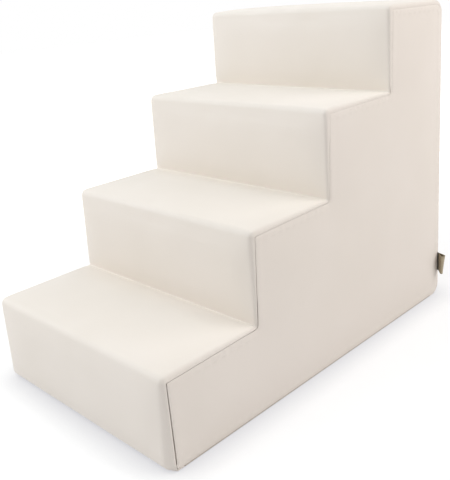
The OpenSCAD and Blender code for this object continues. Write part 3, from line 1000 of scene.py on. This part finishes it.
def woven(name, colour, darker, threads):
    """Woven fabric: two crossing rows of threads, seen in the colour and as relief."""
    material, tree = new_material(name)
    values = {"Scale": threads, "Distortion": 0.6, "Detail": 1}
    rows = weave(tree, values, values)
    dress(tree, ramp(tree, rows, ((0.0, darker), (0.8, colour))),
          mapped(tree, noise(tree, 90), 0.7, 0.9), bump(tree, rows, 0.00015),
          Sheen_Weight=0.25)
    return material


def grip_fabric(colour, darker):
    """Woven fabric with rows of small raised rubber dots, which keep it from sliding."""
    material = woven("base_fabric", colour, darker, 330)
    tree = material.node_tree
    shader = tree.nodes["Principled BSDF"]
    grid = on_object(tree, "TexVoronoi", {"Scale": 1 / DOT_SPACING, "Randomness": 0})
    dots = mapped(tree, grid.outputs["Distance"], 0, 1, DOT_SHARE, DOT_SHARE - DOT_EDGE,
                  "SMOOTHSTEP")
    threads = shader.inputs["Normal"].links[0].from_socket
    fill(tree, shader, {"Normal": bump(tree, dots, DOT_RISE, Normal=threads),
                        "Roughness": mapped(tree, dots, 0.85, 0.35)})
    return material


def ribbon_material():
    """Woven tape, darker brown near the seam and paler khaki further out, with fine upright ribs
    and painted shade inside the loop and by the seam.
    """
    material, tree = new_material("tag_weave")
    out = on_object(tree, "SeparateXYZ").outputs["X"]
    reach = mapped(tree, out, 0, 1, HALF, HALF + TAG_LENGTH)
    bands = ramp(tree, reach, [(place, srgb(*tone)) for place, tone in RIBBON_BANDS])
    rows = weave(tree, {"Scale": 250, "Distortion": 0.4}, {"Scale": 420})
    shade = add_node(tree, "Mix", {"Factor": 0.55, "A": bands,
                                   "B": ramp(tree, rows, ((0.0, RIBBON_SHADE), (0.7, WHITE)))},
                     data_type="RGBA", blend_type="MULTIPLY")
    # Ambient occlusion darkens the ribbon's colour inside the loop and by the seam: painted shade.
    inside = {"Color": shade.outputs["Result"], "Distance": 0.006}
    dress(tree, add_node(tree, "AmbientOcclusion", inside).outputs["Color"],
          mapped(tree, rows, 0.9, 0.7), bump(tree, rows, 0.0002), Sheen_Weight=0.3)
    return material


def foam_material():
    material, tree = new_material("foam")
    pores = on_object(tree, "TexVoronoi", {"Scale": 600}).outputs["Distance"]
    dress(tree, ramp(tree, pores, ((0.1, srgb(*FOAM_PORE)), (0.6, srgb(*FOAM_TONE)))),
          mapped(tree, noise(tree, 40), 0.85, 1.0), bump(tree, pores, 0.0004))
    return material


def hard(name, colour, darker, fineness, lightest, roughness, relief, **values):
    """Plastic or metal, slightly uneven in tone, gloss and surface, each with its own fineness."""
    material, tree = new_material(name)
    tone, gloss, surface = (noise(tree, *fine) for fine in fineness)
    dress(tree, ramp(tree, tone, ((0.3, darker), (lightest, colour))),
          mapped(tree, gloss, *roughness), bump(tree, surface, relief), **values)
    return material


# Floor: half its size, height, own colour, glow near the stairs, colour that takes their shadow,
# reach of the painted contact shadow, middle of the glow, and where it starts and ends to turn
# white

FLOOR_REACH = 8
FLOOR_HEIGHT = -0.0003
FLOOR_COLOUR = (0.82, 0.82, 0.83, 1)
FLOOR_GLOW = (0.61, 0.61, 0.64, 1)
SHADOW_COLOUR = (0.43, 0.43, 0.395, 1)
PAINTED_SHADOW_REACH = 0.05
GLOW_MIDDLE = (0.06, 0.14, 0)
WHITE_START, WHITE_END = 0.5, 1.0


def by_sight(tree, unseen, seen):
    """One look for the camera, its reflections and the view through glass, and one for the rest."""
    path = add_node(tree, "LightPath").outputs
    sight = combined(tree, "MAXIMUM", path["Is Camera Ray"], path["Is Glossy Ray"])
    sight = combined(tree, "MAXIMUM", sight, path["Is Transmission Ray"])
    looks = {0: sight, 1: unseen.outputs[0], 2: seen.outputs[0]}
    return add_node(tree, "MixShader", looks).outputs[0]


def floor_material():
    """Seen as white, with the object's shadow kept on it and a painted contact shadow close to the
    stairs.
    """
    material, tree = new_material("floor")
    plain = tree.nodes["Principled BSDF"]
    fill(tree, plain, {"Base Color": FLOOR_COLOUR, "Roughness": 0.9})
    away = on_object(tree, "VectorMath", {1: GLOW_MIDDLE}, operation="DISTANCE")
    fade = mapped(tree, away.outputs["Value"], 0, 1, WHITE_START, WHITE_END, "SMOOTHSTEP")
    fade = add_node(tree, "Mix", {"Factor": fade, "A": FLOOR_GLOW, "B": (*WHITE, 1)},
                    data_type="RGBA").outputs["Result"]
    glow = add_node(tree, "Emission", {"Color": fade, "Strength": 1.0})
    # Ambient occlusion darkens the floor's colour close to the stairs: a painted contact shadow.
    painted_contact_shadow = add_node(tree, "AmbientOcclusion", {"Color": SHADOW_COLOUR, "Distance": PAINTED_SHADOW_REACH})
    soft = add_node(tree, "BsdfDiffuse", {"Color": painted_contact_shadow.outputs["Color"]})
    both = add_node(tree, "AddShader", {0: glow.outputs[0], 1: soft.outputs[0]})
    fill(tree, tree.nodes["Material Output"], {"Surface": by_sight(tree, plain, both)})
    return material


def build_floor():
    corners = [(x * FLOOR_REACH, y * FLOOR_REACH, FLOOR_HEIGHT)
               for x, y in ((-1, -1), (1, -1), (1, 1), (-1, 1))]
    mesh = new_mesh("floor", corners, [(0, 1, 2, 3)])
    mesh.materials.append(floor_material())
    add_object("floor", mesh)


# Light: colour and strength of the world, where the lamps point, and each lamp's place, size,
# power and colour

WORLD_COLOUR = (1.0, 0.955, 0.955, 1)
WORLD_STRENGTH = 0.38
LAMP_TARGET = (0, 0, 0.3)
LAMPS = {
    "lamp_top": ((-0.2, -0.3, 2.6), 2.4, 22.5, (0.82, 0.935, 0.985)),
    "lamp_front": ((-1.0, -2.4, 1.6), 2.0, 19.4, (0.98, 0.985, 0.985)),
    "lamp_left": ((-2.4, -1.2, 1.5), 2.0, 28.2, (0.97, 0.98, 1.0)),
    "lamp_side": ((1.6, 1.2, 1.6), 1.8, 28.2, (1.0, 0.945, 0.922)),
}


def build_world():
    """Even light from all round, which is seen as white."""
    world = bpy.data.worlds.new("studio")
    bpy.context.scene.world = world
    world.use_nodes = True
    tree = world.node_tree
    soft = tree.nodes["Background"]
    fill(tree, soft, {"Color": WORLD_COLOUR, "Strength": WORLD_STRENGTH})
    white = add_node(tree, "Background", {"Color": (*WHITE, 1), "Strength": 1.0})
    fill(tree, tree.nodes["World Output"], {"Surface": by_sight(tree, soft, white)})


def build_lamp(name, place, size, power, colour):
    light = tuned(bpy.data.lights.new(name, "AREA"), shape="SQUARE", size=size, energy=power,
                  color=colour)
    turn = (Vector(LAMP_TARGET) - Vector(place)).to_track_quat("-Z", "Y")
    tuned(add_object(name, light), location=place, rotation_mode="QUATERNION",
          rotation_quaternion=turn)


# Camera: yaw, pitch and roll in degrees, place from the foot of the front in widths of the stairs,
# sensor in millimetres, and picture, focal length and middle of the view in pixels

CAMERA_TURN = (-45.61, 15.03, 4.09)
CAMERA_PLACE = (2.0, -1.164, 1.468)
SENSOR = 36
PICTURE_WIDE, PICTURE_HIGH = 450, 480
FOCAL = 694.0
VIEW_X, VIEW_Y = 218.2, 180.5


def build_camera():
    """The photograph's viewing angle."""
    yaw, pitch, roll = (math.radians(a) for a in CAMERA_TURN)
    place = np.array(CAMERA_PLACE) * WIDTH - np.array([0, DEPTH / 2, 0])
    ahead = np.array([math.sin(yaw) * math.cos(pitch), math.cos(yaw) * math.cos(pitch),
                      -math.sin(pitch)])
    right = np.array([math.cos(yaw), -math.sin(yaw), 0])
    down = np.cross(ahead, right)
    image_right = math.cos(roll) * right + math.sin(roll) * down
    image_down = -math.sin(roll) * right + math.cos(roll) * down
    long_side = max(PICTURE_WIDE, PICTURE_HIGH)
    camera = tuned(
        bpy.data.cameras.new("camera"), sensor_width=SENSOR, lens=FOCAL / long_side * SENSOR,
        shift_x=(PICTURE_WIDE / 2 - VIEW_X) / long_side,
        shift_y=-(PICTURE_HIGH / 2 - VIEW_Y) / long_side, clip_start=0.05, clip_end=60)
    body = add_object("camera", camera)
    turn = np.stack([image_right, -image_down, -ahead], 1)
    body.matrix_world = Matrix.Translation(place) @ Matrix(turn.tolist()).to_4x4()
    bpy.context.scene.camera = body


# The whole scene. The hard parts of the zip have the width and the segments of their edges.

MOULDED_PARTS = {"zip_teeth_upper": (0.00015, 1), "zip_teeth_lower": (0.00015, 1),
                 "zip_end_stops": (0.0003, 2), "zip_box_stop": (0.0003, 2)}
PLATED_PARTS = {"zip_slider": (0.0002, 2), "zip_pull": (0.00025, 2)}


def build_cover(cover, base):
    twins = simulate_swelling()
    for name, stretch, solid, foam in (
            ("cover_riser_tread", "front", "riser_tread_panel", FOAM),
            ("cover_back_upper", "upper", "back_panel_upper", FOAM),
            ("cover_back_lower", "lower", "back_panel_lower", ["foam_1"])):
        cover_panel(name, stretch, full_width(), cover, [solid],
                    twins.get(stretch))
    cover_panel("cover_bottom", "base", full_width(), base, ["bottom_panel"],
                unevenness=0, gathered=0)
    side_panel("cover_side_left", -1, cover, ["side_panel_left"], twins.get("left"))
    side_panel("cover_side_right", 1, cover, ["side_panel_right"], twins.get("right"))


def build_zip(cover):
    for side, word in ((-1, "left"), (1, "right")):
        cover_panel("cover_tab_" + word, "window", tab_places(side), cover,
                    ["zip_tab_" + word], gathered=0)
    tape = woven("tape_weave", srgb(226, 219, 205), srgb(196, 188, 172), 700)
    zip_tape("zip_tape_a", 1, tape, ["zip_tape_upper"])
    zip_tape("zip_tape_b", -1, tape, ["zip_tape_lower"])
    thread = woven("sewing_thread", srgb(232, 225, 213), srgb(206, 198, 183), 900)
    from_middle = ZIP_WINDOW / 2 + STITCH_FROM_WINDOW
    stitch_row("stitches_upper", ZIP_HEIGHT + from_middle, thread)
    stitch_row("stitches_lower", ZIP_HEIGHT - from_middle, thread)
    moulding = hard("zip_moulding", srgb(228, 220, 204), srgb(215, 206, 189),
                    ((300,), (800,), (1500,)), 0.7, (0.32, 0.45), 0.00003,
                    Subsurface_Weight=0.08, Subsurface_Scale=0.001)
    for node, edge in MOULDED_PARTS.items():
        finish_node(node, moulding, *edge)
    plating = hard("zip_plating", srgb(208, 205, 199), srgb(196, 192, 186),
                   ((500, 4), (1200, 5), (2500,)), 0.75, (0.26, 0.4), 0.00002, Metallic=1.0)
    for node, edge in PLATED_PARTS.items():
        finish_node(node, plating, *edge)


def build_stairs():
    cover = leatherette("cover_cream", srgb(237, 230, 221), srgb(234, 227, 217))
    base = grip_fabric(srgb(222, 214, 203), srgb(196, 187, 174))
    foam = foam_material()
    for step in range(1, STEPS + 1):
        foam_slab(step, foam)
    build_cover(cover, base)
    build_zip(cover)
    ribbon_tag("tag_ribbon", ribbon_material())


build_world()
build_floor()
for lamp_name, lamp_values in LAMPS.items():
    build_lamp(lamp_name, *lamp_values)
build_camera()
build_stairs()
bpy.context.scene.view_settings.view_transform = "Standard"
